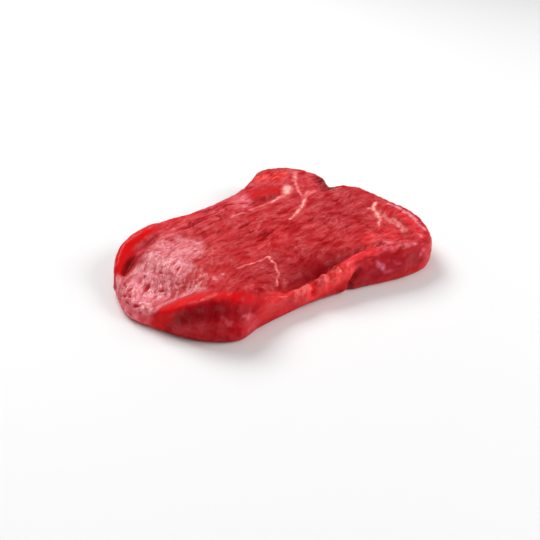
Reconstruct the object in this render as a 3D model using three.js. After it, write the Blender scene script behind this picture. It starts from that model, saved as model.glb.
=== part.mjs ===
// A raw beef silverside steak: one thick, uneven slice of muscle lying flat.
// Millimetres, +Z up. The origin is on the resting face, under the middle of the outline.
// +X runs along the steak towards its broad end, and -Y is the side with the waist.

import * as THREE from "three";

// The cut face, which is the top
const CUT_FACE_HEIGHT = 17.3; // away from its rim
const RIM_BLEND = 18; // how far inside the rim it has its own height again
const THIN_TIP = { x: -83, y: 13, fall: 8, reach: 40 }; // it sinks towards the narrow end
const SWELL = { height: 0.5, length: 120, breadth: 94 }; // broad unevenness all over
const GRAIN = { height: 0.25, length: 75, breadth: 16 }; // low waves along the meat's fibres

// The side
const WIDEST_SHARE = 0.35; // where it is widest, as a share of the rim's height
const FULLNESS = 2.8; // of its round up to the rim: 2 is an ellipse, and more is squarer

// The mesh
const SECTORS = 180; // steps round the outline
const SPAN_STEPS = 24; // steps between two landmarks when the outline is measured
const SIDE_STEPS = { foot: 2, round: 8 };
const CUT_FACE_RINGS = 22;
const RING_CROWDING = 1.45; // above 1, the rings lie closer together near the rim

// Landmarks round the widest line of the side, anticlockwise from the broad end.
// rim: height of the cut face's edge. round: how far that edge lies inside the widest line.
// tuck: how far the resting face's edge lies inside it.
const LANDMARKS = [
  { x: 82.5, y: -1, rim: 17.5, round: 6, tuck: 4 }, // broad end
  { x: 81.5, y: 11, rim: 16.5, round: 6, tuck: 4 },
  { x: 76.5, y: 19, rim: 14.5, round: 7, tuck: 3.5 }, // notch between two muscles
  { x: 79.5, y: 27.5, rim: 16.5, round: 6, tuck: 4 },
  { x: 79, y: 41, rim: 17.5, round: 6, tuck: 4 },
  { x: 72.5, y: 53.5, rim: 17.5, round: 6, tuck: 4 },
  { x: 59.5, y: 61.5, rim: 17, round: 6.5, tuck: 4 }, // corner of the small muscle
  { x: 45.5, y: 57, rim: 16.5, round: 7, tuck: 3.5 },
  { x: 32, y: 53, rim: 16.5, round: 7, tuck: 3.5 },
  { x: 13, y: 51, rim: 17, round: 7, tuck: 3.5 }, // long hollow side
  { x: -8, y: 51.5, rim: 17.5, round: 7, tuck: 3.5 },
  { x: -26, y: 54.5, rim: 18, round: 6.5, tuck: 4 },
  { x: -42.5, y: 56, rim: 18, round: 6.5, tuck: 4.5 }, // raised lip
  { x: -57.5, y: 52, rim: 17, round: 6.5, tuck: 4.5 },
  { x: -68.5, y: 42.5, rim: 14.5, round: 6.5, tuck: 4 },
  { x: -76, y: 30.5, rim: 11, round: 7.5, tuck: 3 },
  { x: -80.5, y: 17, rim: 8.5, round: 8.5, tuck: 2.5 }, // thin narrow end
  { x: -78.5, y: 3.5, rim: 10.5, round: 9, tuck: 3 },
  { x: -75, y: -11.5, rim: 17.5, round: 10.5, tuck: 3.5 },
  { x: -69, y: -23.5, rim: 22.5, round: 10.5, tuck: 4 }, // high bulge
  { x: -59.5, y: -32.5, rim: 22, round: 10.5, tuck: 4 },
  { x: -47, y: -32.5, rim: 17.5, round: 7, tuck: 3.5 },
  { x: -31, y: -34.5, rim: 12.8, round: 5, tuck: 3 }, // waist
  { x: -14, y: -38, rim: 11.3, round: 4, tuck: 4 },
  { x: 2.5, y: -43.5, rim: 14.8, round: 4.5, tuck: 4 },
  { x: 21, y: -51, rim: 18, round: 5.5, tuck: 4 }, // rolled edge
  { x: 39, y: -59, rim: 18.5, round: 7.5, tuck: 4 },
  { x: 54, y: -61.5, rim: 18, round: 7.5, tuck: 4 }, // front corner
  { x: 65.5, y: -55, rim: 17.5, round: 6.5, tuck: 4 },
  { x: 76, y: -41.5, rim: 17.5, round: 6, tuck: 4 },
  { x: 80, y: -20.5, rim: 17.5, round: 6, tuck: 4 },
];

// Ridges and creases of the cut face. Each follows a line and runs out over a quarter of it at
// both ends, so a line that starts outside the outline gives a crease that cuts through the edge.
const LIP_CREASE = {
  height: -3.6,
  width: 3.6,
  line: [[-86, 30], [-74, 34.5], [-66, 36.5], [-60, 39.5], [-54, 42.5], [-47, 42.8], [-42, 44], [-35, 46.8]],
};
const LIP_WRINKLE = {
  height: -1.8,
  width: 2.3,
  line: [[-50, 42.5], [-42, 44], [-35, 46.8], [-24, 47.2], [-8, 44.5], [4, 43]],
};
const MUSCLE_SEAM = {
  height: -1,
  width: 4.5,
  line: [[-2, 31], [13, 28.5], [30, 27], [41, 27], [50, 30], [62, 25], [74, 19]],
};
const ROLL_CREASE = {
  height: -3.2,
  width: 3,
  line: [
    [-42, -27], [-24, -31], [-12, -32], [-6, -34], [0, -36], [8, -37.5], [18, -39], [28, -43], [38, -52],
  ],
};
const ROLL_RIDGE = {
  height: 2,
  width: 2.8,
  line: [[-12, -37], [1.5, -40], [9, -42], [15, -44.2], [22, -47], [30, -51.5], [40, -58], [46, -63]],
};
const INNER_RIDGE = {
  height: 1.6,
  width: 2.2,
  line: [[32, -37], [34, -43], [35, -48], [38, -53], [43, -57]],
};
const BROAD_END_SEAM = {
  height: -1.8,
  width: 3,
  line: [[64, -17], [60, -28], [57, -37], [51, -45], [43, -51]],
};
const CUT_FACE_FORMS = [
  LIP_CREASE, LIP_WRINKLE, MUSCLE_SEAM, ROLL_CREASE, ROLL_RIDGE, INNER_RIDGE, BROAD_END_SEAM,
];

// Folds and swellings of the side, whose lines also have heights
const UNDER_ROLL_FOLD = {
  height: -3,
  width: 2.1,
  line: [
    [6, -44.5, -12], [7, -45, 0], [8.5, -45.5, 6], [10.5, -46.2, 9.5], [13.5, -47, 12], [18, -49, 14.5],
    [26, -53, 15.5], [34, -56.5, 15.5],
  ],
};
const LOBE = {
  height: 2.2,
  width: 5.5,
  line: [[18, -50, 6], [27, -54, 8], [38, -58.5, 8.5]],
};
const UNDER_BULGE_FOLD = {
  height: -1.6,
  width: 3.4,
  line: [
    [-79, 2, 2], [-76.5, -6.5, 8], [-74, -12, 11.5], [-71, -17.5, 14.5], [-66, -25, 17], [-58, -31.5, 16],
    [-46, -33, 12],
  ],
};
const SIDE_FORMS = [UNDER_ROLL_FOLD, LOBE, UNDER_BULGE_FOLD];

// Lumps of the rolled edge
const LUMPS = [
  { x: -24, y: -34.5, z: 10, radius: 4, height: 1.2 },
  { x: -17, y: -36, z: 9.5, radius: 4.4, height: 2 },
  { x: -8.5, y: -38.7, z: 11, radius: 3.8, height: 2.2 },
  { x: -1.5, y: -41, z: 12.5, radius: 3.4, height: 2 },
  { x: 4.5, y: -43, z: 14, radius: 3, height: 1.5 },
];

// From 0 to 1 with level ends
function ease(t) {
  const s = Math.min(Math.max(t, 0), 1);
  return s * s * (3 - 2 * s);
}

// One measure between two landmarks, on a closed Catmull-Rom curve through them all
function landmarkValue(key, span, t) {
  const n = LANDMARKS.length;
  const [a, b, c, d] = [-1, 0, 1, 2].map((k) => LANDMARKS[(span + k + n) % n][key]);
  const linear = (c - a) * t;
  const square = (2 * a - 5 * b + 4 * c - d) * t ** 2;
  const cube = (3 * b - a - 3 * c + d) * t ** 3;
  return (2 * b + linear + square + cube) / 2;
}

// The outline in fine steps, sorted by direction from the origin
function measureOutline() {
  const steps = [];
  for (let span = 0; span < LANDMARKS.length; span++) {
    for (let k = 0; k < SPAN_STEPS; k++) {
      const value = (key) => landmarkValue(key, span, k / SPAN_STEPS);
      steps.push({
        angle: (Math.atan2(value("y"), value("x")) + 2 * Math.PI) % (2 * Math.PI),
        radius: Math.hypot(value("x"), value("y")),
        rim: value("rim"),
        round: value("round"),
        tuck: value("tuck"),
      });
    }
  }
  return steps.sort((p, q) => p.angle - q.angle);
}

// The edge's measures in one direction, in a straight line between the two nearest steps
function edgeAt(angle, steps) {
  const next = Math.max(steps.findIndex((step) => step.angle > angle), 0);
  const [a, b] = [steps.at(next - 1), steps[next]];
  const turn = 2 * Math.PI;
  const share = ((angle - a.angle + turn) % turn) / ((b.angle - a.angle + turn) % turn);
  const value = (key) => a[key] + (b[key] - a[key]) * share;
  return { radius: value("radius"), rim: value("rim"), round: value("round"), tuck: value("tuck") };
}

// How far a point is from a line of points, and how far along the line the nearest place is.
// It works in the plane for [x, y] points and in space for [x, y, z] points.
function nearestOnLine(point, line) {
  let nearest = { distance: Infinity, along: 0 };
  let passed = 0;
  for (let i = 1; i < line.length; i++) {
    const start = line[i - 1];
    const run = line[i].map((value, axis) => value - start[axis]);
    const offset = point.map((value, axis) => value - start[axis]);
    const length = Math.hypot(...run);
    const dot = offset.reduce((sum, value, axis) => sum + value * run[axis], 0);
    const t = Math.min(Math.max(dot / length ** 2, 0), 1);
    const distance = Math.hypot(...offset.map((value, axis) => value - t * run[axis]));
    if (distance < nearest.distance) nearest = { distance, along: passed + t * length };
    passed += length;
  }
  return { ...nearest, length: passed };
}

// The sum of these ridges, creases or folds at a point
function formsAt(point, forms) {
  return forms.reduce((sum, { height, width, line }) => {
    const { distance, along, length } = nearestOnLine(point, line);
    const ends = ease(along / (length / 4)) * ease((length - along) / (length / 4));
    return sum + height * ends * Math.exp(-((distance / width) ** 2));
  }, 0);
}

function lumpsAt(point) {
  return LUMPS.reduce((sum, { x, y, z, radius, height }) => {
    const distance = Math.hypot(point[0] - x, point[1] - y, point[2] - z);
    return sum + height * Math.exp(-((distance / radius) ** 2));
  }, 0);
}

// Waves that are long one way and short the other, from -1 to 1
function waves(x, y, { length, breadth }) {
  return Math.sin((2 * Math.PI * x) / length + 0.8) * Math.sin(2 * Math.PI * (y / breadth + x / length));
}

// The cut face's height at a point, which is a distance inside a rim of that height
function cutFaceHeight(x, y, inside, rim) {
  const toTip = Math.hypot(x - THIN_TIP.x, y - THIN_TIP.y);
  const fall = THIN_TIP.fall * ease(1 - toTip / THIN_TIP.reach);
  const uneven = SWELL.height * waves(x, y, SWELL) + GRAIN.height * waves(x, y, GRAIN);
  const rimShare = 1 - ease(inside / RIM_BLEND);
  const level = (CUT_FACE_HEIGHT - fall + uneven) * (1 - rimShare) + rim * rimShare;
  return level + formsAt([x, y], CUT_FACE_FORMS) + lumpsAt([x, y, level]);
}

// The side in one direction, from the resting face up, as [radius, height] pairs
function sideProfile({ radius, rim, round, tuck }) {
  const widest = rim * WIDEST_SHARE;
  const points = [];
  for (let k = 0; k < SIDE_STEPS.foot; k++) {
    const t = k / SIDE_STEPS.foot;
    points.push([radius - tuck * (1 - t) ** 2, widest * t ** 2]);
  }
  for (let k = 0; k <= SIDE_STEPS.round; k++) {
    const turn = ((k / SIDE_STEPS.round) * Math.PI) / 2;
    const inward = 1 - Math.abs(Math.cos(turn)) ** (2 / FULLNESS);
    const up = Math.sin(turn) ** (2 / FULLNESS);
    points.push([radius - round * inward, widest + (rim - widest) * up]);
  }
  return points;
}

// All points in one direction, from the resting face's edge to the last ring of the cut face
function sectorPoints(angle, steps) {
  const edge = edgeAt(angle, steps);
  const place = (radius, height) => [radius * Math.cos(angle), radius * Math.sin(angle), height];
  // Towards the rim the side takes up the cut face's creases and lumps little by little.
  const side = sideProfile(edge).map(([radius, height], i) => {
    const point = place(radius, height);
    const [x, y] = place(radius + formsAt(point, SIDE_FORMS) + lumpsAt(point), 0);
    const share = ease((i - SIDE_STEPS.foot) / SIDE_STEPS.round);
    return [x, y, height + share * (cutFaceHeight(x, y, 0, edge.rim) - edge.rim)];
  });
  const rimRadius = edge.radius - edge.round;
  const face = [];
  for (let ring = 1; ring < CUT_FACE_RINGS; ring++) {
    const inside = rimRadius * (ring / CUT_FACE_RINGS) ** RING_CROWDING;
    const [x, y] = place(rimRadius - inside, 0);
    face.push([x, y, cutFaceHeight(x, y, inside, edge.rim)]);
  }
  return [...side, ...face];
}

// One closed surface: rings from the resting face up the side and in to the cut face's middle
function steakGeometry() {
  const steps = measureOutline();
  const sectors = [];
  for (let s = 0; s < SECTORS; s++) {
    sectors.push(sectorPoints((s / SECTORS) * 2 * Math.PI, steps));
  }
  const rings = sectors[0].length;
  const positions = sectors.flat(2);
  const restingMiddle = positions.push(0, 0, 0) / 3 - 1;
  const cutFaceMiddle = positions.push(0, 0, cutFaceHeight(0, 0, RIM_BLEND, 0)) / 3 - 1;
  const vertex = (sector, ring) => (sector % SECTORS) * rings + ring;
  const gap = (a, b) => Math.hypot(...[0, 1, 2].map((k) => positions[3 * a + k] - positions[3 * b + k]));
  const index = [];
  for (let s = 0; s < SECTORS; s++) {
    index.push(restingMiddle, vertex(s + 1, 0), vertex(s, 0));
    for (let ring = 0; ring < rings - 1; ring++) {
      const [a, b] = [vertex(s, ring), vertex(s + 1, ring)];
      // Each four-sided patch is split along its shorter diagonal.
      if (gap(a, b + 1) < gap(b, a + 1)) index.push(a, b, b + 1, a, b + 1, a + 1);
      else index.push(a, b, a + 1, b, b + 1, a + 1);
    }
    index.push(cutFaceMiddle, vertex(s, rings - 1), vertex(s + 1, rings - 1));
  }
  const geometry = new THREE.BufferGeometry();
  geometry.setAttribute("position", new THREE.Float32BufferAttribute(positions, 3));
  geometry.setIndex(index);
  geometry.computeBoundingBox();
  const middle = geometry.boundingBox.getCenter(new THREE.Vector3());
  geometry.translate(-middle.x, -middle.y, 0);
  geometry.computeVertexNormals();
  return geometry;
}

function meatMaterial() {
  return new THREE.MeshStandardMaterial({ color: 0xb5282f, roughness: 0.4, metalness: 0 });
}

const steak = new THREE.Mesh(steakGeometry(), meatMaterial());
steak.name = "steak";

const group = new THREE.Group();
group.add(steak);

export default group;
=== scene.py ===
import itertools
import math

import bpy
import numpy as np
from mathutils import Matrix, Vector


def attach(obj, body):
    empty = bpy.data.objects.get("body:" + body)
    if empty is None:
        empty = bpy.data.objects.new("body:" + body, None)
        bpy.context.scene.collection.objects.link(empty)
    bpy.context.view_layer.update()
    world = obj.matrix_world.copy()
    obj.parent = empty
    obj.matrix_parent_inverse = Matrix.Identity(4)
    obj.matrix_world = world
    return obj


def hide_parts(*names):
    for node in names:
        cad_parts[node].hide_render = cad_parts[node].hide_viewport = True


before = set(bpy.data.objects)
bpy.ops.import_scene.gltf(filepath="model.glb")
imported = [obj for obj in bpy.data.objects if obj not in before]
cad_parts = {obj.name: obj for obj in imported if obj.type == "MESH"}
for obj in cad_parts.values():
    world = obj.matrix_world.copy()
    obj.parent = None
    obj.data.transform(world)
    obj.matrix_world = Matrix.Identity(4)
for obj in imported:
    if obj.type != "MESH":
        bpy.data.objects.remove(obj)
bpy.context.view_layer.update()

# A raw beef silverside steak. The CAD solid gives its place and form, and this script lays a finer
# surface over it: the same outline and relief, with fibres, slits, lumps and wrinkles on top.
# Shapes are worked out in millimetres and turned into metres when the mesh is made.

MM = 0.001

# The photo's camera, in millimetres over the resting surface
CAMERA_AT = (-227.26, -188.94, 184.0)
CAMERA_AIM = (-5.16, -2.58, 0.0)
CAMERA_ROLL = math.radians(1.9)
CAMERA_LENS = 44.3  # on a sensor 36 mm wide

# The form, as in the part's source
CUT_FACE_HEIGHT = 17.3
RIM_BLEND = 18.0
THIN_TIP = {"x": -83, "y": 13, "fall": 8, "reach": 40}
SWELL = {"height": 0.5, "length": 120, "breadth": 94}
GRAIN = {"height": 0.25, "length": 75, "breadth": 16}
WIDEST_SHARE = 0.35
FULLNESS = 2.8
SPAN_STEPS = 24

# Round the widest line of the side: x, y, height of the rim, how far the rim lies inside the
# widest line, and how far the resting face's edge does.
LANDMARKS = np.array([
    (82.5, -1, 17.5, 6, 4), (81.5, 11, 16.5, 6, 4),
    (76.5, 19, 14.5, 7, 3.5),  # notch between two muscles
    (79.5, 27.5, 16.5, 6, 4), (79, 41, 17.5, 6, 4), (72.5, 53.5, 17.5, 6, 4),
    (59.5, 61.5, 17, 6.5, 4),  # corner of the small muscle
    (45.5, 57, 16.5, 7, 3.5), (32, 53, 16.5, 7, 3.5),
    (13, 51, 17, 7, 3.5),  # long hollow side
    (-8, 51.5, 17.5, 7, 3.5), (-26, 54.5, 18, 6.5, 4),
    (-42.5, 56, 18, 6.5, 4.5),  # raised lip
    (-57.5, 52, 17, 6.5, 4.5), (-68.5, 42.5, 14.5, 6.5, 4), (-76, 30.5, 11, 7.5, 3),
    (-80.5, 17, 8.5, 8.5, 2.5),  # thin narrow end
    (-78.5, 3.5, 10.5, 9, 3), (-75, -11.5, 17.5, 10.5, 3.5),
    (-69, -23.5, 22.5, 10.5, 4),  # high bulge
    (-59.5, -32.5, 22, 10.5, 4), (-47, -32.5, 17.5, 7, 3.5),
    (-31, -34.5, 12.8, 5, 3),  # waist
    (-14, -38, 11.3, 4, 4), (2.5, -43.5, 14.8, 4.5, 4),
    (21, -51, 18, 5.5, 4),  # rolled edge
    (39, -59, 18.5, 7.5, 4),
    (54, -61.5, 18, 7.5, 4),  # front corner
    (65.5, -55, 17.5, 6.5, 4), (76, -41.5, 17.5, 6, 4), (80, -20.5, 17.5, 6, 4),
], float)

# Ridges and creases: height, width and line
LIP_CREASE = (-3.6, 3.6, [(-86, 30), (-74, 34.5), (-66, 36.5), (-60, 39.5), (-54, 42.5), (-47, 42.8),
                          (-42, 44), (-35, 46.8)])
LIP_WRINKLE = (-1.8, 2.3, [(-50, 42.5), (-42, 44), (-35, 46.8), (-24, 47.2), (-8, 44.5), (4, 43)])
MUSCLE_SEAM = (-1.0, 4.5, [(-2, 31), (13, 28.5), (30, 27), (41, 27), (50, 30), (62, 25), (74, 19)])
ROLL_CREASE = (-3.2, 3.0, [(-42, -27), (-24, -31), (-12, -32), (-6, -34), (0, -36), (8, -37.5),
                           (18, -39), (28, -43), (38, -52)])
ROLL_RIDGE = (2.0, 2.8, [(-12, -37), (1.5, -40), (9, -42), (15, -44.2), (22, -47), (30, -51.5),
                         (40, -58), (46, -63)])
INNER_RIDGE = (1.6, 2.2, [(32, -37), (34, -43), (35, -48), (38, -53), (43, -57)])
BROAD_END_SEAM = (-1.8, 3.0, [(64, -17), (60, -28), (57, -37), (51, -45), (43, -51)])
CUT_FACE_FORMS = [
    LIP_CREASE, LIP_WRINKLE, MUSCLE_SEAM, ROLL_CREASE, ROLL_RIDGE, INNER_RIDGE, BROAD_END_SEAM,
]
UNDER_ROLL_FOLD = (-3.0, 2.1, [(6, -44.5, -12), (7, -45, 0), (8.5, -45.5, 6), (10.5, -46.2, 9.5),
                               (13.5, -47, 12), (18, -49, 14.5), (26, -53, 15.5), (34, -56.5, 15.5)])
LOBE = (2.2, 5.5, [(18, -50, 6), (27, -54, 8), (38, -58.5, 8.5)])
UNDER_BULGE_FOLD = (-1.6, 3.4, [(-79, 2, 2), (-76.5, -6.5, 8), (-74, -12, 11.5), (-71, -17.5, 14.5),
                                (-66, -25, 17), (-58, -31.5, 16), (-46, -33, 12)])
SIDE_FORMS = [UNDER_ROLL_FOLD, LOBE, UNDER_BULGE_FOLD]

# Lumps of the rolled edge: x, y, z, radius and height
LUMPS = [
    (-24, -34.5, 10, 4, 1.2), (-17, -36, 9.5, 4.4, 2), (-8.5, -38.7, 11, 3.8, 2.2),
    (-1.5, -41, 12.5, 3.4, 2), (4.5, -43, 14, 3, 1.5),
]

# Folds finer than the solid's
FINE_FOLDS = [
    (-1.3, 1.5, [(-70, 35, 9.5), (-65.5, 36.3, 10.3), (-59, 39.8, 12), (-52, 42.3, 13)]),  # under the lip
    (-0.6, 1.0, [(-56, 41, 13), (-48, 43.6, 14), (-42, 44.6, 15), (-34, 44.8, 16), (-26, 44.4, 17)]),
    (-0.8, 1.0, [(-63, 35.5, 12), (-57, 37.6, 13), (-52, 39.8, 14), (-48, 41.2, 15)]),
    (-0.6, 1.8, [(-32, -29.5, 12), (-24, -30, 10), (-18, -30.3, 10), (-12, -31.2, 10),
                 (-6, -33.2, 10), (0, -35.2, 12), (7, -36.8, 14)]),  # behind the rolled edge
    (-0.9, 1.6, [(-12.3, -33, 12), (-12.9, -37.5, 12), (-15, -39.5, 4)]),  # between its lumps
    (-0.3, 1.3, [(-5, -35, 14), (-5, -39.5, 13.5), (-5.5, -42, 4)]),
    (0.6, 2.0, [(37, -57, 17), (37.5, -58.5, 9), (38.5, -58.5, 0)]),  # softens the swelling's end
]

# The fine surface: square rings on the cut face, and rows on the side and underneath
HALF_GRID = 118
SIDE_ROWS = 24
FOOT_ROWS = 7
UNDER_ROWS = 8

# Slits along the fibres: depth, half width and the points along each
SLITS = [
    (1.2, 1.0, [(-14, 1.3), (-6, 2.3), (0, 3.2), (5, 3.5), (12, 3.4)]),
    (0.9, 0.8, [(-9, 4.8), (-2, 5.6), (4, 5.5)]), (0.9, 0.8, [(-9, 17.8), (4, 17.3)]),
    (0.6, 0.6, [(-1, 35.3), (10, 35.2)]), (0.7, 0.6, [(-31, 38.9), (-23, 38.3), (-15, 37.3), (-7, 36.7)]),
    (0.6, 0.6, [(-30, 29.3), (-20, 28.2), (-11, 27.6)]), (0.6, 0.5, [(-17, 39.6), (-6, 39.4), (2, 37.6)]),
    (0.5, 0.5, [(-20, 32.5), (-10, 31.5), (0, 31.8)]), (0.4, 0.5, [(-26, 16), (-17, 13.5)]),
    (0.4, 0.5, [(10, 11), (18, 10)]), (0.4, 0.5, [(-2, -14), (8, -16)]), (0.4, 0.5, [(22, 14), (32, 14.5)]),
    (0.4, 0.5, [(34, -4), (44, -6)]), (0.4, 0.5, [(50, 2), (60, 0)]), (0.5, 0.6, [(26, -20), (38, -22)]),
]
RANDOM_SLITS = 50

# Dark marks and wrinkles of the pale end
PALE_MARKS = [
    (0.9, 0.7, [(-70, 18.1), (-63.5, 20.3)]), (0.5, 0.5, [(-74.3, 27.2), (-71.5, 29.7)]),
    (0.6, 0.6, [(-76, 21.8), (-71.2, 24.2)]), (0.5, 0.5, [(-64.6, 23.6), (-62.4, 24.9)]),
    (0.45, 0.4, [(-53.7, 22.4), (-42.7, 26.6)]), (0.35, 0.4, [(-48.2, 24), (-41.5, 26.5)]),
    (0.4, 0.45, [(-52.9, 16), (-49.6, 17.6)]), (0.6, 0.5, [(-55.6, 11.4), (-50.6, 13.6)]),
    (0.4, 0.4, [(-59, 22), (-58.3, 17.7), (-57.4, 13.4), (-55.5, 11.6)]),
    (0.4, 0.5, [(-61.8, 10), (-59.5, 8.6)]), (0.4, 0.5, [(-58.9, 8.4), (-59.2, 4.8)]),
    (0.5, 0.5, [(-65.6, 13.8), (-63.2, 9)]), (0.4, 0.6, [(-63.2, 14.7), (-60.2, 13)]),
    (0.5, 0.5, [(-71, 11), (-66.5, 11.9)]), (0.5, 0.5, [(-39.5, 34), (-36, 33.9)]),
    (0.5, 0.5, [(-54, 34.8), (-51.3, 36)]), (0.8, 0.8, [(-79, 16.5), (-77.5, 11.5)]),
    (0.6, 0.7, [(-78.9, 21.5), (-79.2, 17.5)]), (0.6, 0.7, [(-78, 24.8), (-76.4, 21.8)]),
    (0.5, 0.7, [(-74.6, 23.5), (-76.8, 18.5)]),
]

# Fat between the muscles, and a few painted highlights drawn the same way: half width, strength and the line
VEINS_AND_SHEEN = [
    (1.6, 0.85, [(44, 28), (41, 27.8), (38, 27.7)]),
    (1.0, 0.8, [(38, 27.7), (33, 27.4), (29, 27)]),
    (0.8, 0.55, [(29, 27), (22.7, 27.5), (14.3, 28.9)]),
    (1.1, 0.55, [(8.5, 28.6), (4.3, 29.1), (0.5, 29.2)]),
    (3.1, 1.1, [(46.3, 28.8), (50.3, 31.8)]),
    (1.6, 0.85, [(70, 41.5), (60.3, 34.6)]),
    (1.0, 0.7, [(60.3, 34.6), (56, 29.5), (51, 24), (46, 17)]),
    (1.2, 0.6, [(56.5, 16.5), (52, 16.4), (47, 16)]),
    (1.5, 0.75, [(54, 19.2), (49, 17.2), (42, 13), (36, 9.7)]),
    (1.3, 0.85, [(36, 9.7), (28, 6.9)]),
    (0.9, 0.85, [(28, 6.9), (20, 4.7)]),
    (0.7, 0.7, [(-34, -8.6), (-30, -9.8), (-25.5, -10.7), (-21.3, -11.5), (-16.2, -11.8)]),
    (0.8, 0.75, [(-16.2, -11.8), (-18.6, -15.8), (-20.7, -20.5)]),
    (0.7, 0.6, [(-20.7, -20.5), (-24.5, -25), (-28, -26.5)]),
    (1.1, 0.9, [(69.5, -17), (66, -18), (62.9, -19.6)]),
    (1.8, 1.0, [(63.3, -19.9), (61.3, -23.2), (57.5, -27)]),
    (1.0, 0.9, [(57, -27), (52.3, -30.6), (47, -33.5)]),
    (1.1, 0.8, [(61, -17.2), (62.9, -19.6)]),
    (0.6, 0.3, [(2, 17), (5.5, 15.2), (10.9, 12.9), (15.5, 8.4), (18, 3.6)]),
    (0.6, 0.4, [(-34, 15.5), (-31, 16), (-30, 13), (-33, 9.8), (-37, 9.5), (-38, 12.5), (-34, 15.5)]),
    # painted highlights: pink streaks of wet sheen near the broad end's rim, drawn with the fat
    (1.3, 0.6, [(61.5, -27.5), (59.5, -31)]),
    (1.5, 0.6, [(59.5, -31), (57.5, -35.5)]),
    (1.1, 0.55, [(60.5, -35), (57.5, -41)]),
    (1.4, 0.6, [(57.5, -40), (54, -46)]),
]


def ease(t):
    s = np.clip(t, 0, 1)
    return s * s * (3 - 2 * s)


# The form

def measure_outline():
    """Angle, radius, rim, round and tuck in fine steps round the outline, sorted by angle."""
    before, start, end, after = (np.roll(LANDMARKS, k, 0)[:, None] for k in (1, 0, -1, -2))
    t = (np.arange(SPAN_STEPS) / SPAN_STEPS)[None, :, None]
    square = (2 * before - 5 * start + 4 * end - after) * t**2
    cube = (3 * start - before - 3 * end + after) * t**3
    steps = ((2 * start + (end - before) * t + square + cube) / 2).reshape(-1, 5)
    angle = np.arctan2(steps[:, 1], steps[:, 0]) % (2 * math.pi)
    order = np.argsort(angle)
    radius = np.hypot(steps[:, 0], steps[:, 1])
    return angle[order], radius[order], steps[order, 2:]


def edge_at(angle):
    """Radius, rim, round and tuck of the edge in these directions."""
    known, radius, rest = measure_outline()
    return [np.interp(angle, known, values, period=2 * math.pi) for values in (radius, *rest.T)]


def nearest_on_line(points, line):
    """Distance to a line of points, how far along it the nearest place is, and its length."""
    line = np.array(line, float)
    best = np.full(len(points), np.inf)
    along = np.zeros(len(points))
    passed = 0.0
    for a, b in zip(line[:-1], line[1:]):
        run = b - a
        length = np.linalg.norm(run)
        t = np.clip((points - a) @ run / length**2, 0, 1)
        distance = np.linalg.norm(points - a - t[:, None] * run, axis=1)
        closer = distance < best
        best = np.where(closer, distance, best)
        along = np.where(closer, passed + t * length, along)
        passed += length
    return best, along, passed


def forms_at(points, forms):
    """The sum of these ridges, creases or folds at each point."""
    total = np.zeros(len(points))
    for height, width, line in forms:
        distance, along, length = nearest_on_line(points, line)
        ends = ease(along / (length / 4)) * ease((length - along) / (length / 4))
        total += height * ends * np.exp(-((distance / width) ** 2))
    return total


def lumps_at(points):
    total = np.zeros(len(points))
    for x, y, z, radius, height in LUMPS:
        distance = np.linalg.norm(points - (x, y, z), axis=1)
        total += height * np.exp(-((distance / radius) ** 2))
    return total


def waves(x, y, size):
    slow = np.sin(2 * math.pi * x / size["length"] + 0.8)
    return slow * np.sin(2 * math.pi * (y / size["breadth"] + x / size["length"]))


def cut_face_height(flat, inside, rim):
    x, y = flat.T
    to_tip = np.hypot(x - THIN_TIP["x"], y - THIN_TIP["y"])
    fall = THIN_TIP["fall"] * ease(1 - to_tip / THIN_TIP["reach"])
    uneven = SWELL["height"] * waves(x, y, SWELL) + GRAIN["height"] * waves(x, y, GRAIN)
    rim_share = 1 - ease(inside / RIM_BLEND)
    level = (CUT_FACE_HEIGHT - fall + uneven) * (1 - rim_share) + rim * rim_share
    return level + forms_at(flat, CUT_FACE_FORMS) + lumps_at(np.column_stack([flat, level]))


def side_points(angle, height_share):
    """Points of the side. The share runs from 0 at the resting face's edge, by 1 at the widest
    line, to 2 at the rim."""
    radius, rim, inward, tuck = edge_at(angle)
    low = np.clip(height_share, 0, 1)
    turn = np.clip(height_share - 1, 0, 1) * math.pi / 2
    widest = rim * WIDEST_SHARE
    r = radius - tuck * (1 - low) ** 2 - inward * (1 - np.abs(np.cos(turn)) ** (2 / FULLNESS))
    z = widest * low**2 + (rim - widest) * np.sin(turn) ** (2 / FULLNESS)
    direction = np.stack([np.cos(angle), np.sin(angle)], -1)
    plain = np.column_stack([direction * r[:, None], z])
    flat = direction * (r + forms_at(plain, SIDE_FORMS) + lumps_at(plain))[:, None]
    taken = ease(turn / (math.pi / 2))
    z = z + taken * (cut_face_height(flat, np.zeros_like(r), rim) - rim)
    return np.column_stack([flat, z])


def cut_face_points(angle, share):
    """Points of the cut face. The share runs from 0 in the middle to 1 at the rim."""
    radius, rim, inward, _ = edge_at(angle)
    rim_radius = radius - inward
    flat = np.stack([np.cos(angle), np.sin(angle)], -1) * (rim_radius * share)[:, None]
    return np.column_stack([flat, cut_face_height(flat, rim_radius * (1 - share), rim)])


# The mesh

def square_rings(half):
    """A square grid turned into rings: for each point its angle and its share of the radius."""
    steps = np.linspace(-1, 1, 2 * half + 1)
    v, u = np.meshgrid(steps, steps, indexing="ij")
    share = np.maximum(np.abs(u), np.abs(v))
    wide = np.abs(u) >= np.abs(v)
    with np.errstate(divide="ignore", invalid="ignore"):
        quarter = np.where(wide, v / u, 2 - u / v) * math.pi / 4
    angle = np.where(wide, np.where(u < 0, quarter + math.pi, quarter), quarter)
    angle = np.where(~wide & (v < 0), quarter + math.pi, angle)
    return np.nan_to_num(angle).ravel() % (2 * math.pi), share.ravel()


def border_of_grid(half):
    """The indices of the grid's outermost points, anticlockwise from the lower right corner."""
    n = 2 * half + 1
    right = [row * n + n - 1 for row in range(n - 1)]
    top = [(n - 1) * n + col for col in range(n - 1, 0, -1)]
    left = [row * n for row in range(n - 1, 0, -1)]
    bottom = list(range(n - 1))
    return np.array(right + top + left + bottom)


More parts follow.
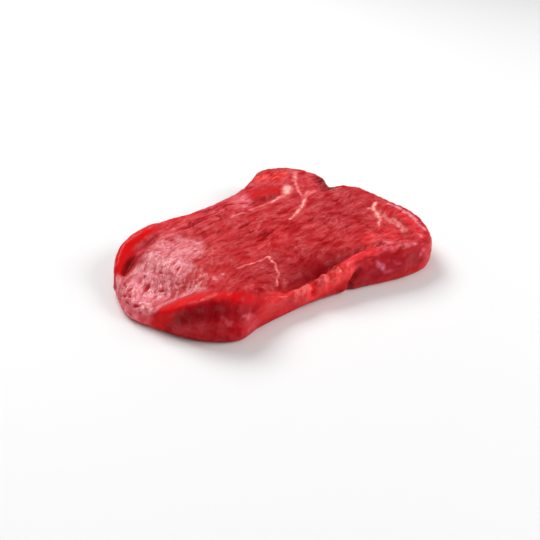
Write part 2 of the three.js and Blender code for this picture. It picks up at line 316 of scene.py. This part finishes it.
def grid_quads(half):
    n = 2 * half + 1
    corner = (np.arange(n - 1)[:, None] * n + np.arange(n - 1)).ravel()
    return np.stack([corner, corner + 1, corner + n + 1, corner + n], -1)


def band_quads(upper, lower):
    """The faces between two closed rows of points, the upper one inside or above."""
    return np.stack([lower, np.roll(lower, -1), np.roll(upper, -1), upper], -1)


def steak_surface():
    """Points, faces, and for each point its share of the way up the side, or 2 on the cut face."""
    angle, share = square_rings(HALF_GRID)
    border = border_of_grid(HALF_GRID)
    around = angle[border]
    points = [cut_face_points(angle, share)]
    level = [np.full(len(angle), 2.0)]
    faces = [grid_quads(HALF_GRID)]
    upper = border
    heights = list(2 - np.arange(1, SIDE_ROWS + 1) / SIDE_ROWS)
    heights += list(1 - np.arange(1, FOOT_ROWS + 1) / FOOT_ROWS)
    count = len(angle)
    for height in heights:
        lower = count + np.arange(len(border))
        points.append(side_points(around, np.full(len(border), height)))
        level.append(np.full(len(border), height))
        faces.append(band_quads(upper, lower))
        upper = lower
        count += len(border)
    foot = points[-1]
    for k in range(1, UNDER_ROWS):
        lower = count + np.arange(len(border))
        points.append(foot * [1 - k / UNDER_ROWS, 1 - k / UNDER_ROWS, 1])
        level.append(np.zeros(len(border)))
        faces.append(band_quads(upper, lower))
        upper = lower
        count += len(border)
    points.append(np.zeros((1, 3)))
    level.append(np.zeros(1))
    fan = np.stack([upper, np.full(len(upper), count), np.roll(upper, -1)], -1)
    return np.concatenate(points), np.concatenate(faces), fan, np.concatenate(level)


def point_normals(points, quads):
    across = np.cross(points[quads[:, 2]] - points[quads[:, 0]], points[quads[:, 3]] - points[quads[:, 1]])
    normals = np.zeros_like(points)
    for k in range(4):
        np.add.at(normals, quads[:, k], across)
    length = np.linalg.norm(normals, axis=1)
    return normals / np.maximum(length, 1e-12)[:, None]


# Noise

def lattice_noise(points, seed):
    """Smooth noise from about -1 to 1."""
    cell = np.floor(points).astype(np.int64)
    part = points - cell
    blend = part**3 * (part * (part * 6 - 15) + 10)
    total = np.zeros(len(points))
    for corner in itertools.product((0, 1), repeat=3):
        x, y, z = (cell + corner).T
        mixed = (x * 73856093) ^ (y * 19349663) ^ (z * 83492791) ^ (seed * 668265263)
        mixed = (mixed ^ (mixed >> 13)) * 1274126177
        mixed = mixed ^ (mixed >> 16)
        slope = np.stack([mixed & 1023, (mixed >> 10) & 1023, (mixed >> 20) & 1023], -1) / 511.5 - 1
        weight = np.prod(np.where(corner, blend, 1 - blend), axis=1)
        total += weight * ((part - corner) * slope).sum(1)
    return total * 1.5


def rough_noise(points, seed, octaves=3):
    total = np.zeros(len(points))
    for k in range(octaves):
        total += lattice_noise(points * 2**k, seed + k) / 2**k
    return total


def noise_lines(points, seed, width):
    """1 along the winding lines where the noise passes through 0, and 0 away from them."""
    return 1 - ease(np.abs(lattice_noise(points, seed)) / width)


def near(points, line, width, power=2):
    """1 on a line of points, falling softly to 0 at about twice the width."""
    distance, _, _ = nearest_on_line(points, line)
    return np.exp(-((distance / width) ** power))


def bent_grain(points):
    """The points in a frame whose first axis follows the fibres, which bend a little."""
    x, y, z = points.T
    turn = 0.34 * ease((-38 - x) / 30)  # the fibres turn at the narrow end
    turned = y - turn * (x + 38)
    bend = [lattice_noise(points / 22, seed) for seed in (51, 52, 53)]
    return np.column_stack([x + 3 * bend[0], turned + 3 * bend[1], z + 1.5 * bend[2]])


# Zones

BULGE_START = [(-77.8, 1, 3), (-77, -1.8, 7), (-73, -4.5, 12), (-69, -8, 15.2), (-66, -13.5, 18.4)]
BULGE_BAND = [(-66, -13.5, 18.4), (-62.6, -20.5, 21.6), (-57.5, -27.4, 21.5), (-51, -30, 18.6)]
BULGE_END = [(-49, -30.8, 17.4), (-41.5, -31.3, 14), (-34, -32.3, 11)]
LIP_BAND = [(-67, 40.5, 12), (-63, 43, 13.3), (-57, 46, 15), (-49, 48.5, 16.5), (-40, 50, 17.5)]
LIP_GROOVE = [(-66.5, 36, 10.3), (-63.6, 37, 10.8), (-59, 39.5, 12.2), (-54.3, 41.4, 13.3),
              (-48, 43.7, 13.8), (-43.3, 44.5, 14.5)]
ROLL_BAND = [(-40, -33.5, 9), (-30, -35, 8.5), (-23, -36, 8.5), (-16, -38, 8.5), (-8.5, -40.5, 10),
             (-1.5, -43, 11), (4.5, -45, 13)]
# the fold behind the rolled edge, where shade is painted
SHADED_FOLD = [(-18, -28.5, 10.5), (-10, -29, 11), (-4, -31, 12.3), (3, -34, 13.5)]
RIDGE_BAND = [(4.4, -42.5, 17), (9.4, -43, 18), (14.7, -45, 19), (21.5, -48, 19.6)]
LOBE_BAND = [(16, -50, 6), (25, -54.5, 8.5), (36, -59, 9), (47, -62, 9)]
RED_PATCH = [(29, 37.5, 17), (35, 38.4, 17), (39, 36, 17)]
# the pale end, where a pale film and a painted sheen lie
PALE_MIDDLE = [(-71, 17, 9), (-56, 19.5, 15), (-42, 25, 17)]
PALE_RIM = [(-69.8, 35.5, 9.6), (-72.5, 32.5, 9), (-76.3, 28, 7.8), (-78.5, 22, 6.8), (-79.8, 16, 6),
            (-79.6, 11, 6.2), (-78, 6.5, 8), (-74.7, 3, 10.3), (-70.5, 2, 11.2), (-65, 1.5, 13.2),
            (-59, -4, 16), (-57.5, -9, 17.5)]
STREAKED = [
    (11, 1.0, [(-45, 42, 17), (-20, 39, 17), (8, 36, 17)]), (8, 0.6, [(-14, 3, 17), (14, 5, 17)]),
    (14, 0.5, [(20, -8, 17), (44, -14, 17)]), (10, 0.5, [(50, 46, 17), (66, 40, 17)]),
]


def pale_film_and_sheen(points):
    """Where the narrow end of the cut face is pale: partly a pale moist film, partly a painted sheen of reflected
    light.
    """
    wide = np.maximum(near(points, PALE_MIDDLE, 15.5), 0.85 * near(points, PALE_RIM, 3.2))
    ragged = 0.22 * rough_noise(points / 6, 5)
    return ease((wide - 0.32 + ragged) / 0.42) * (1 - near(points, LIP_GROOVE, 3))


def smooth_zones(points):
    """Where a skin hides the fibres, such as on the lip and the rolled edge."""
    zones = [
        near(points, BULGE_START, 4), near(points, BULGE_BAND, 3.5), 0.7 * near(points, BULGE_END, 3.5),
        near(points, LIP_BAND, 6), 0.7 * near(points, ROLL_BAND, 6), near(points, RIDGE_BAND, 2.5),
        0.5 * near(points, LOBE_BAND, 8), 0.9 * near(points, RED_PATCH, 6), 0.8 * near(points, SHADED_FOLD, 5),
    ]
    return np.max(zones, axis=0)


def streaked(points):
    """How strongly the fibres part in long wavy creases."""
    return np.max([strength * near(points, line, reach) for reach, strength, line in STREAKED], axis=0)


# Fine relief

def all_slits():
    draw = np.random.default_rng(11)
    made = SLITS + PALE_MARKS
    for _ in range(RANDOM_SLITS):
        x, y = draw.uniform(-55, 70), draw.uniform(-38, 46)
        length, lean = draw.uniform(3, 10), draw.normal(-0.02, 0.12)
        line = [(x, y), (x + length, y + length * lean)]
        made = made + [(draw.uniform(0.15, 0.4), draw.uniform(0.4, 0.55), line)]
    return made


def slit_depths(points, chosen):
    """How deep the slits are at each chosen point, and 0 elsewhere."""
    flat = points[chosen][:, :2]
    wobble = 0.7 * lattice_noise(points[chosen] / 3.5, 31)
    flat = flat + np.column_stack([np.zeros(len(flat)), wobble])
    depth = np.zeros(len(flat))
    for deep, width, line in all_slits():
        middle = np.mean(line, axis=0)
        close = np.hypot(*(flat - middle).T) < 16
        distance, along, length = nearest_on_line(flat[close], line)
        ends = ease(along / (length * 0.4)) * ease((length - along) / (length * 0.4))
        depth[close] = np.maximum(depth[close], deep * ends * np.exp(-((distance / width) ** 2)))
    result = np.zeros(len(points))
    result[chosen] = depth
    return result


def hollows(points, level, grain, pale_and_sheen, smooth):
    """Depth in mm of the slits, creases and wrinkles."""
    slits = slit_depths(points, level > 1.4)
    parting = noise_lines(grain / [13, 3.6, 3.6], 61, 0.13)
    parting += 0.6 * noise_lines(grain / [8, 2.4, 2.4], 62, 0.12)
    parting *= ease(0.5 + 1.2 * lattice_noise(grain / [9, 5, 5], 63))
    on_cut_face = 0.2 + 0.8 * ease((level - 1.5) / 0.4)
    strength = (0.22 + 0.5 * streaked(points)) * on_cut_face * (1 - smooth) * (1 - 0.6 * pale_and_sheen)
    wrinkles = noise_lines(grain / [5, 1.9, 1.9], 64, 0.16) * pale_and_sheen * 0.25
    return slits + parting * strength + wrinkles


def fine_relief(points, grain, deep, smooth):
    """How far the fine relief lifts the surface at each point."""
    ribbons = 0.32 * rough_noise(grain / [9, 3.4, 3.4], 1, 2) * (1 - 0.75 * smooth)
    lumps = 0.34 * rough_noise(points / [9, 6.5, 6.5], 2, 2)
    pebbles = 0.16 * lattice_noise(grain / [3.6, 2.4, 2.4], 7) * (1 - 0.6 * smooth)
    knobs = 0.9 * rough_noise(points / 3.4, 6, 2) * np.clip(lumps_at(points), 0, 1)
    grounded = ease((points[:, 2] - 0.2) / 2.5)
    return (ribbons + lumps + pebbles + knobs - deep + forms_at(points, FINE_FOLDS)) * grounded


# Colours

def srgb(red, green, blue):
    """A colour as seen on a screen, 0 to 255, as linear numbers from 0 to 1."""
    values = np.array([red, green, blue]) / 255
    return np.where(values <= 0.04045, values / 12.92, ((values + 0.055) / 1.055) ** 2.4)


MEAT = srgb(190, 20, 28)
WASHES = [
    # colour, reach in mm, strength and the line round which it lies
    (srgb(178, 25, 35), 14, 0.8, [(48, -2, 17.5), (40, -14, 17.5), (60, -6, 17.5)]),
    (srgb(202, 44, 49), 13, 0.8, [(48, 46, 17), (68, 40, 17)]),
    (srgb(174, 9, 23), 12, 0.85, [(-30, -18, 17), (-12, -24, 16), (8, -30, 16)]),
    (srgb(214, 62, 68), 9, 0.65, [(-34, 44, 17), (-14, 43, 17), (8, 42, 17), (24, 44, 17)]),
    (srgb(208, 16, 20), 6, 0.6, [(-12, -1, 17.5), (6, 1, 17.5)]),
    # the cut face's dark and bright places
    # painted shade in the fold behind the rolled edge
    (srgb(176, 12, 30), 3.8, 1.0, SHADED_FOLD),
    # painted shade along the crease behind the ridge
    (srgb(158, 8, 20), 3.5, 0.8, [(14, -38, 15), (20, -40, 16), (28, -45, 17), (33, -50, 18)]),
    (srgb(203, 19, 31), 6, 0.8, [(66, -27, 17.5), (62, -36, 17.5), (56, -45, 17.5)]),
    (srgb(170, 6, 18), 2.2, 0.75, [(62, -34, 17), (60.5, -40.5, 17), (55, -48, 17.5)]),
    (srgb(226, 30, 40), 3.4, 0.9, [(68, -36, 17.5), (63, -44, 17.5), (55, -52, 17.5)]),
    (srgb(250, 164, 168), 1.1, 0.8, [(73, -23.7, 17.6), (71.6, -34.3, 17.6), (67, -44.6, 17.6),
                                     (61, -52.5, 17.6)]),
    (srgb(202, 0, 4), 6.5, 0.9, RED_PATCH),
    (srgb(140, 0, 12), 3, 0.7, [(25, 33.5, 17), (30, 32, 17), (36, 31.2, 17)]),
    (srgb(244, 70, 58), 4.5, 0.9, [(47, 52, 17), (52, 50, 17), (55, 46.5, 17), (60, 45, 17.6)]),
    (srgb(190, 8, 26), 5, 0.8, [(64, 33, 17), (68, 26, 17)]),
    (srgb(234, 104, 112), 5, 0.55, [(24, 46, 16.7), (19.4, 38, 17), (14, 33, 17)]),
    (srgb(240, 132, 136), 1.5, 0.7, [(23.5, 43, 17), (21, 39.5, 17), (21.5, 35.5, 17)]),
    (srgb(240, 132, 136), 1.3, 0.6, [(17, 34, 17), (12.7, 32.6, 17)]),
    (srgb(132, 0, 18), 4.5, 0.9, [(74, 26, 16), (70.5, 20.5, 15), (69, 17, 15)]),
    (srgb(234, 52, 50), 3.5, 0.9, [(36.5, -35.5, 17), (31, -38.5, 17.5)]),
    (srgb(228, 54, 56), 3.5, 0.8, [(46, -38, 17), (43, -45, 17.5)]),
    # the side
    (srgb(196, 10, 26), 13, 1.0, [(-73.7, -9.4, 6), (-69.4, -19, 8), (-63, -30, 7), (-54, -33, 6)]),
    # painted shade in the fold under the bulge's overhanging band
    (srgb(158, 2, 16), 3.6, 0.75, [(-74.5, -9.8, 10), (-70.3, -18.3, 14.5), (-65, -26.5, 17),
                                   (-56.5, -32, 14.5), (-50, -33, 11)]),
    (srgb(224, 60, 68), 4, 0.7, [(-52, -33.5, 8), (-47, -33.5, 4)]),
    (srgb(254, 88, 94), 6, 1.0, [(-80, 29, 3), (-82, 14, 3), (-80, 6, 3)]),
    (srgb(255, 116, 122), 4, 0.8, [(-78, 31, 3), (-82, 24, 3), (-82, 14, 3)]),
    (srgb(210, 22, 38), 9, 0.9, [(54, -62, 10), (66, -56, 10), (77, -42, 10), (81, -20, 10)]),
    (srgb(172, 10, 26), 7, 0.95, [(16, -50, 4), (25, -54.5, 7), (34, -58.5, 8), (42, -61, 8)]),
    (srgb(212, 12, 22), 3.6, 0.8, [(20, -51, 1), (30, -56.5, 2), (42, -61, 3), (54, -63, 4)]),
    (srgb(234, 2, 8), 3.8, 1.0, BULGE_START),
    (srgb(230, 2, 8), 2.6, 1.0, BULGE_BAND),
    (srgb(214, 20, 28), 2.8, 0.8, BULGE_END),
    (srgb(224, 0, 6), 5.4, 1.0, LIP_BAND),
    # painted highlight along the lip's inner slope
    (srgb(236, 116, 126), 1.1, 0.7, [(-62, 37, 12.5), (-54.4, 40.4, 14), (-48.9, 43, 14.5)]),
    # painted shade in the groove under the lip
    (srgb(176, 0, 6), 2.6, 0.85, [(-66.5, 36, 10.3), (-63.6, 37, 10.8), (-59, 39.5, 12.2)]),
    (srgb(200, 44, 52), 2.4, 0.8, [(-53, 41.8, 13.3), (-48, 43.7, 13.8), (-43.3, 44.5, 14.5), (-38, 44.6, 15.5)]),
    # painted shade in the lip's second fold
    (srgb(160, 12, 32), 1.2, 0.8, [(-66, 34, 11.5), (-60.7, 34.8, 13.4), (-57, 35.4, 15), (-52, 37.3, 16)]),
    (srgb(220, 30, 36), 5, 0.8, [(-34, 51, 17), (-24, 51, 17), (-12, 50, 17)]),
    # brighter orange-red on the rolled edge: partly its own lighter colour, partly painted light
    (srgb(252, 44, 42), 5.5, 1.0, ROLL_BAND),
    (srgb(206, 12, 20), 5, 0.8, [(-42, -33, 8), (-32, -35, 7), (-25, -36.5, 5)]),
    # brighter red along the ridge and the inner ridge: partly their own colour, partly painted light on their
    # crests
    (srgb(252, 58, 60), 2.2, 1.0, RIDGE_BAND),
    (srgb(248, 76, 84), 2.2, 0.8, [(23, -49, 19.6), (27, -51, 19.5), (31, -53.4, 19)]),
    (srgb(240, 74, 78), 1.8, 0.7, [(33, -41, 18), (34.5, -46, 18.5), (34, -52, 20), (39, -56, 19.5)]),
    # painted shade in the groove under the ridge's overhang
    (srgb(134, 0, 12), 1.8, 0.9, [(7.5, -45, 0), (8.5, -45, 6), (10.5, -45.5, 9.5), (12.5, -46, 11)]),
    (srgb(204, 40, 48), 1.8, 0.8, [(15, -46.5, 12.4), (18.5, -48, 14)]),
    (srgb(214, 62, 80), 1.2, 0.7, [(24, -53.5, 8), (29.5, -56, 8)]),
    (srgb(214, 62, 80), 1.2, 0.6, [(28.5, -54, 13.5), (32, -56.5, 11.5)]),
    # painted highlights: paler, pinker places where wet spots and streaks catch the light
    (srgb(242, 124, 138), 1.5, 0.7, [(20.5, -51, 13), (23, -53.5, 11)]),
    (srgb(236, 92, 98), 0.9, 0.6, [(-64.5, -27.5, 14), (-62, -30.5, 12)]),
    (srgb(236, 92, 98), 0.9, 0.6, [(-57, -32.3, 14.5), (-52, -33.3, 10)]),
    (srgb(236, 92, 98), 0.9, 0.6, [(-53, -32.7, 13), (-48, -33, 8)]),
    (srgb(246, 116, 120), 1.1, 0.6, [(25.5, -50.4, 19.8), (30, -52.8, 19.4)]),
    (srgb(246, 130, 136), 1.1, 0.7, [(40, -56.8, 19), (44, -58.6, 17.6)]),
    (srgb(242, 110, 122), 0.9, 0.6, [(45, -60.6, 12), (48, -60.6, 13.5)]),
    (srgb(242, 110, 122), 1.0, 0.6, [(51.5, -56.5, 17.5), (53.5, -54, 18)]),
    (srgb(254, 112, 100), 2.4, 0.6, [(-22, -35.5, 12), (-17, -36.5, 12)]),
    (srgb(250, 112, 110), 2.0, 0.6, [(-11, -38.8, 12.2), (-7.5, -39.9, 13)]),
    (srgb(254, 104, 88), 1.8, 0.5, [(-2.5, -41, 15), (0, -41.8, 15.2)]),
]
PINK = srgb(240, 122, 122)
# colours of the pale end: a pale moist film with a painted sheen over it
PALE_DEEP = srgb(222, 102, 112)
PALE_LIGHT = srgb(248, 162, 168)
PALE_LINES = srgb(184, 56, 72)
# colours of the fat, also laid on the painted sheen streaks near the broad end's rim
THIN_FAT_AND_SHEEN = srgb(236, 116, 116)
THICK_FAT_AND_SHEEN = srgb(250, 186, 174)
SHADOW_SHARES = (0.66, 0.08, 0.13)  # what is left of each colour at the bottom of a deep hollow
DARK_SHARES = (0.78, 0.24, 0.36)  # and in the dark fibres
LIGHT_SHARES = (1.12, 1.56, 1.7)  # and in the light ones
DEEP_HOLLOW = 0.6  # mm


def base_colours(points):
    ragged = points + 1.4 * np.column_stack([lattice_noise(points / 3.2, seed) for seed in (45, 46, 47)])
    colour = np.tile(MEAT, (len(points), 1))
    for wash, reach, strength, line in WASHES:
        share = strength * near(ragged, line, reach, 4)
        colour += (wash - colour) * share[:, None]
    return colour


def hollow_shade_shares(points, deep):
    """Painted shade: 0 in the open, and 1 at the bottom of a deep slit or fold, with some over the fold behind
    the rolled edge.
    """
    folds = -forms_at(points, FINE_FOLDS)
    shaded = 0.35 * near(points, SHADED_FOLD, 6)
    return np.clip(np.maximum.reduce([deep / DEEP_HOLLOW, folds, shaded]), 0, 1)


def fat_and_sheen_share(points, level):
    share = np.zeros(len(points))
    ragged = points + 0.8 * np.column_stack([lattice_noise(points / 2.4, seed) for seed in (41, 42, 43)])
    uneven = lattice_noise(points / 2.6, 44)
    for width, strength, line in VEINS_AND_SHEEN:
        strong = strength * (0.95 + 0.6 * uneven)
        share = np.maximum(share, strong * near(ragged[:, :2], line, width))
    return np.clip(share, 0, 1) * (level > 1.5)


def set_attribute(mesh, name, kind, values):
    attribute = mesh.attributes.new(name, kind, "POINT")
    field = "vector" if kind == "FLOAT_VECTOR" else "color"
    attribute.data.foreach_set(field, np.ascontiguousarray(values, np.float32).ravel())


# Materials

class Shades:
    """The nodes of one material, with short names for what is made often."""

    def __init__(self, name):
        self.material = bpy.data.materials.new(name)
        self.material.use_nodes = True
        self.tree = self.material.node_tree
        self.tree.nodes.clear()

    def put(self, socket, value):
        """A link or a constant into a socket."""
        if isinstance(value, bpy.types.NodeSocket):
            self.tree.links.new(value, socket)
        elif socket.type == "RGBA":
            socket.default_value = (*value, 1)
        else:
            socket.default_value = value

    def node(self, kind, settings=None, **sockets):
        made = self.tree.nodes.new(kind)
        for name, value in (settings or {}).items():
            setattr(made, name, value)
        for name, value in sockets.items():
            self.put(made.inputs[name], value)
        return made

    def attribute(self, name):
        return self.node("ShaderNodeAttribute", {"attribute_name": name}).outputs["Vector"]

    def math(self, operation, a, b):
        made = self.node("ShaderNodeMath", {"operation": operation})
        self.put(made.inputs[0], a)
        self.put(made.inputs[1], b)
        return made.outputs[0]

    def times(self, a, b):
        return self.math("MULTIPLY", a, b)

    def weighted(self, *pairs):
        """The sum of values times their weights."""
        total = 0.0
        for value, weight in pairs:
            total = self.math("ADD", total, self.times(value, weight))
        return total

    def ramp(self, value, low, high, start=0.0, end=1.0):
        """value from low to high turned into start to end, and held beyond them."""
        made = self.node("ShaderNodeMapRange", Value=value)
        for name, number in (("From Min", low), ("From Max", high), ("To Min", start), ("To Max", end)):
            made.inputs[name].default_value = number
        return made.outputs[0]

    def stretched(self, vector, sizes):
        """The vector in units of these sizes in mm."""
        scale = [1 / size for size in sizes]
        return self.node("ShaderNodeMapping", Vector=vector, Scale=scale).outputs[0]

    def noise(self, vector, sizes, detail=4.0, roughness=0.6):
        places = self.stretched(vector, sizes)
        made = self.node("ShaderNodeTexNoise", Vector=places, Scale=1.0, Detail=detail, Roughness=roughness)
        return made.outputs[0]

    def cell_lines(self, vector, sizes, width):
        """1 on the borders between cells of about these sizes, falling to 0 over the width."""
        places = self.stretched(vector, sizes)
        cells = self.node("ShaderNodeTexVoronoi", {"feature": "DISTANCE_TO_EDGE"}, Vector=places, Scale=1.0)
        return self.ramp(cells.outputs["Distance"], 0.0, width, 1.0, 0.0)

    def mixed(self, below, above, share):
        """The colour below with the one above over it, by the share."""
        made = self.node("ShaderNodeMix", {"data_type": "RGBA"})
        self.put(made.inputs[0], share)
        self.put(made.inputs[6], below)
        self.put(made.inputs[7], above)
        return made.outputs[2]

    def tinted(self, colour, shares):
        """The colour times its shares of red, green and blue."""
        made = self.node("ShaderNodeVectorMath", {"operation": "MULTIPLY"})
        self.put(made.inputs[0], colour)
        self.put(made.inputs[1], shares)
        return made.outputs[0]

    def swayed(self, vector, size, reach):
        """The vector moved about by up to half the reach, in swirls of about this size."""
        places = self.stretched(vector, (size, size, size))
        sway = self.node("ShaderNodeTexNoise", Vector=places, Scale=1.0, Detail=3.0)
        made = self.node("ShaderNodeVectorMath", {"operation": "MULTIPLY_ADD"})
        self.put(made.inputs[0], sway.outputs[1])
        self.put(made.inputs[1], (reach, reach, reach))
        self.put(made.inputs[2], vector)
        return made.outputs[0]


def meat_material():
    shades = Shades("raw_meat")
    base = shades.node("ShaderNodeAttribute", {"attribute_name": "base_colour"}).outputs["Color"]
    fat_and_sheen, pale_and_sheen, hollow_shade = shades.node("ShaderNodeSeparateXYZ", Vector=shades.attribute("marks")).outputs
    smooth, gloss, pinkness = shades.node("ShaderNodeSeparateXYZ", Vector=shades.attribute("finish")).outputs
    grain = shades.attribute("grain")
    bent = shades.swayed(grain, 5, 4)
    rough = shades.ramp(smooth, 0, 1, 1, 0.35)

    ribbons = shades.noise(bent, (9, 2.6, 2.6), 3.0, 0.5)
    fibres = shades.noise(grain, (4, 1, 1), 4.0, 0.62)
    clouds = shades.noise(grain, (10, 6, 6), 3.0, 0.5)
    blotches = shades.noise(bent, (4.4, 3, 3), 3.0, 0.6)
    specks = shades.noise(grain, (1.6, 1, 1), 2.0, 0.6)
    tone = shades.weighted((ribbons, 0.35), (fibres, 0.15), (clouds, 0.2), (blotches, 0.3))
    tone = shades.ramp(tone, 0.42, 0.58)
    tone = shades.weighted((shades.math("SUBTRACT", tone, 0.5), rough), (0.5, 1.0))
    patchy = shades.ramp(clouds, 0.42, 0.6)

    light = shades.mixed(shades.tinted(base, LIGHT_SHARES), PINK, shades.times(pinkness, 0.14))
    colour = shades.mixed(shades.tinted(base, DARK_SHARES), light, tone)
    netting = shades.times(shades.cell_lines(bent, (6, 3, 3), 0.2), shades.times(pinkness, patchy))
    colour = shades.mixed(colour, PINK, shades.times(netting, 0.22))
    # painted glints: pale specks where a wet surface would catch the light
    painted_glints = shades.times(shades.ramp(specks, 0.62, 0.72), shades.times(pinkness, patchy))
    colour = shades.mixed(colour, PALE_LIGHT, shades.times(painted_glints, 0.3))

    # the pale end: a pale moist film with a painted sheen of reflected light, crossed by darker lines
    pale_tone = shades.ramp(shades.noise(grain, (4.8, 2.9, 2.9), 3.0, 0.55), 0.34, 0.66)
    pale_colour = shades.mixed(PALE_DEEP, PALE_LIGHT, pale_tone)
    cells = shades.cell_lines(shades.swayed(grain, 3, 2.4), (4.6, 1.9, 1.9), 0.14)
    cells = shades.times(cells, shades.ramp(ribbons, 0.4, 0.6, 0.2, 0.8))
    pale_colour = shades.mixed(pale_colour, PALE_LINES, cells)
    colour = shades.mixed(colour, pale_colour, shades.times(pale_and_sheen, 0.92))
    # fat, and the painted sheen streaks drawn like it
    colour = shades.mixed(colour, THIN_FAT_AND_SHEEN, shades.ramp(fat_and_sheen, 0.1, 0.65))
    colour = shades.mixed(colour, THICK_FAT_AND_SHEEN, shades.ramp(fat_and_sheen, 0.65, 0.95))
    # painted shade: the colour darkens and reddens towards the bottom of slits and folds
    colour = shades.mixed(colour, shades.tinted(colour, SHADOW_SHARES), hollow_shade)

    # Relief finer than the mesh
    fine = shades.noise(grain, (1.6, 0.6, 0.6), 4.0, 0.65)
    relief = shades.weighted((fibres, 0.25), (fine, 0.1), (ribbons, 0.8), (blotches, 1.0))
    relief = shades.times(relief, shades.ramp(pale_and_sheen, 0, 1, 1, 0.4))
    relief = shades.weighted((relief, rough), (netting, 0.25), (shades.times(cells, pale_and_sheen), -0.3), (fat_and_sheen, 0.2))
    bump = shades.node("ShaderNodeBump", Strength=0.6, Distance=0.0006, Height=relief)

    wet = shades.math("MAXIMUM", gloss, shades.times(shades.times(patchy, rough), 0.4))
    wet = shades.times(wet, shades.ramp(hollow_shade, 0, 0.6, 1, 0))
    shader = shades.node("ShaderNodeBsdfPrincipled", Normal=bump.outputs[0])
    shades.put(shader.inputs["Base Color"], colour)
    shades.put(shader.inputs["Roughness"], shades.ramp(clouds, 0.35, 0.65, 0.4, 0.55))
    shades.put(shader.inputs["Coat Weight"], wet)
    shader.inputs["Coat Roughness"].default_value = 0.14
    shader.inputs["Specular IOR Level"].default_value = 0.08
    shader.inputs["Subsurface Weight"].default_value = 0.15
    shader.inputs["Subsurface Radius"].default_value = (1.0, 0.2, 0.15)
    shader.inputs["Subsurface Scale"].default_value = 0.0015
    out = shades.node("ShaderNodeOutputMaterial")
    shades.put(out.inputs["Surface"], shader.outputs["BSDF"])
    return shades.material


# The piece

def finish_shares(points, level, pale_and_sheen, smooth):
    """Shares of smooth skin, of a wet film, and of pink film between the fibres."""
    patches = ease(0.4 + 1.6 * lattice_noise(points / 4, 48))
    wet_lobe = 0.5 * near(points, LOBE_BAND, 7) * patches
    wet_roll = 0.7 * near(points, ROLL_BAND, 5)
    gloss = np.maximum.reduce([wet_lobe, wet_roll, 0.3 * pale_and_sheen, 0.1 * smooth])
    pinkness = ease((level - 1.6) / 0.4) * (1 - smooth)
    pinkness = np.maximum(pinkness, 0.9 * np.clip(lumps_at(points), 0, 1))
    return np.column_stack([smooth, gloss, pinkness])


def build_steak():
    points, quads, fan, level = steak_surface()
    normals = point_normals(points, quads)
    grain = bent_grain(points)
    pale_and_sheen = pale_film_and_sheen(points) * ease((level - 1.05) / 0.4)
    smooth = smooth_zones(points) * (1 - pale_and_sheen)
    fat_and_sheen = fat_and_sheen_share(points, level)
    deep = hollows(points, level, grain, pale_and_sheen, smooth)
    lift = fine_relief(points, grain, deep, np.maximum(smooth, 0.5 * pale_and_sheen)) + 0.25 * fat_and_sheen

    shown = points + normals * lift[:, None]
    shown[:, 2] = np.maximum(shown[:, 2], 0)
    middle = (points.max(0) + points.min(0)) / 2
    shown[:, :2] -= middle[:2]
    mesh = bpy.data.meshes.new("steak_surface")
    mesh.from_pydata((shown * MM).tolist(), [], quads.tolist() + fan.tolist())
    mesh.update()
    mesh.shade_smooth()
    colours = np.column_stack([base_colours(points), np.ones(len(points))])
    marks = np.column_stack([fat_and_sheen, pale_and_sheen, hollow_shade_shares(points, deep)])
    set_attribute(mesh, "base_colour", "FLOAT_COLOR", colours)
    set_attribute(mesh, "marks", "FLOAT_VECTOR", marks)
    set_attribute(mesh, "finish", "FLOAT_VECTOR", finish_shares(points, level, pale_and_sheen, smooth))
    set_attribute(mesh, "grain", "FLOAT_VECTOR", grain)
    piece = bpy.data.objects.new("steak_surface", mesh)
    bpy.context.scene.collection.objects.link(piece)
    piece.data.materials.append(meat_material())
    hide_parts("steak")
    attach(piece, "root")


# The studio

def floor_material():
    material = bpy.data.materials.new("pale_floor")
    material.use_nodes = True
    shader = material.node_tree.nodes["Principled BSDF"]
    shader.inputs["Base Color"].default_value = (0.88, 0.88, 0.88, 1)
    shader.inputs["Roughness"].default_value = 0.7
    return material


def build_floor():
    bpy.ops.mesh.primitive_plane_add(size=8)
    floor = bpy.context.object
    floor.name = "floor"
    floor.data.materials.append(floor_material())


def add_softbox(name, place, aim, size, power):
    light = bpy.data.lights.new(name, "AREA")
    light.shape = "RECTANGLE"
    light.size, light.size_y = size
    light.energy = power
    lamp = bpy.data.objects.new(name, light)
    lamp.location = place
    lamp.rotation_mode = "QUATERNION"
    lamp.rotation_quaternion = (Vector(aim) - Vector(place)).to_track_quat("-Z", "Y")
    bpy.context.scene.collection.objects.link(lamp)


def build_lights():
    world = bpy.data.worlds.new("studio")
    world.use_nodes = True
    world.node_tree.nodes["Background"].inputs["Color"].default_value = (1, 1, 1, 1)
    world.node_tree.nodes["Background"].inputs["Strength"].default_value = 0.25
    bpy.context.scene.world = world
    add_softbox("key", (0.15, 0.95, 1.05), (0, 0, 0), (0.9, 0.7), 16)
    add_softbox("top", (-0.3, -0.1, 1.5), (0, 0, 0), (1.4, 1.4), 2.5)
    add_softbox("side", (0.6, -1.0, 0.75), (0, 0, 0), (0.8, 0.8), 11)


def build_camera():
    camera = bpy.data.cameras.new("camera")
    camera.sensor_width = 36
    camera.lens = CAMERA_LENS
    camera.clip_start, camera.clip_end = 0.01, 20
    holder = bpy.data.objects.new("camera", camera)
    forward = (Vector(CAMERA_AIM) - Vector(CAMERA_AT)).normalized()
    level_right = forward.cross(Vector((0, 0, 1))).normalized()
    level_up = level_right.cross(forward)
    right = math.cos(CAMERA_ROLL) * level_right + math.sin(CAMERA_ROLL) * level_up
    up = math.cos(CAMERA_ROLL) * level_up - math.sin(CAMERA_ROLL) * level_right
    turn = Matrix((right, up, -forward)).transposed().to_4x4()
    holder.matrix_world = Matrix.Translation(Vector(CAMERA_AT) * MM) @ turn
    bpy.context.scene.collection.objects.link(holder)
    bpy.context.scene.camera = holder


build_camera()
build_steak()
build_floor()
build_lights()
bpy.context.scene.view_settings.view_transform = "Standard"
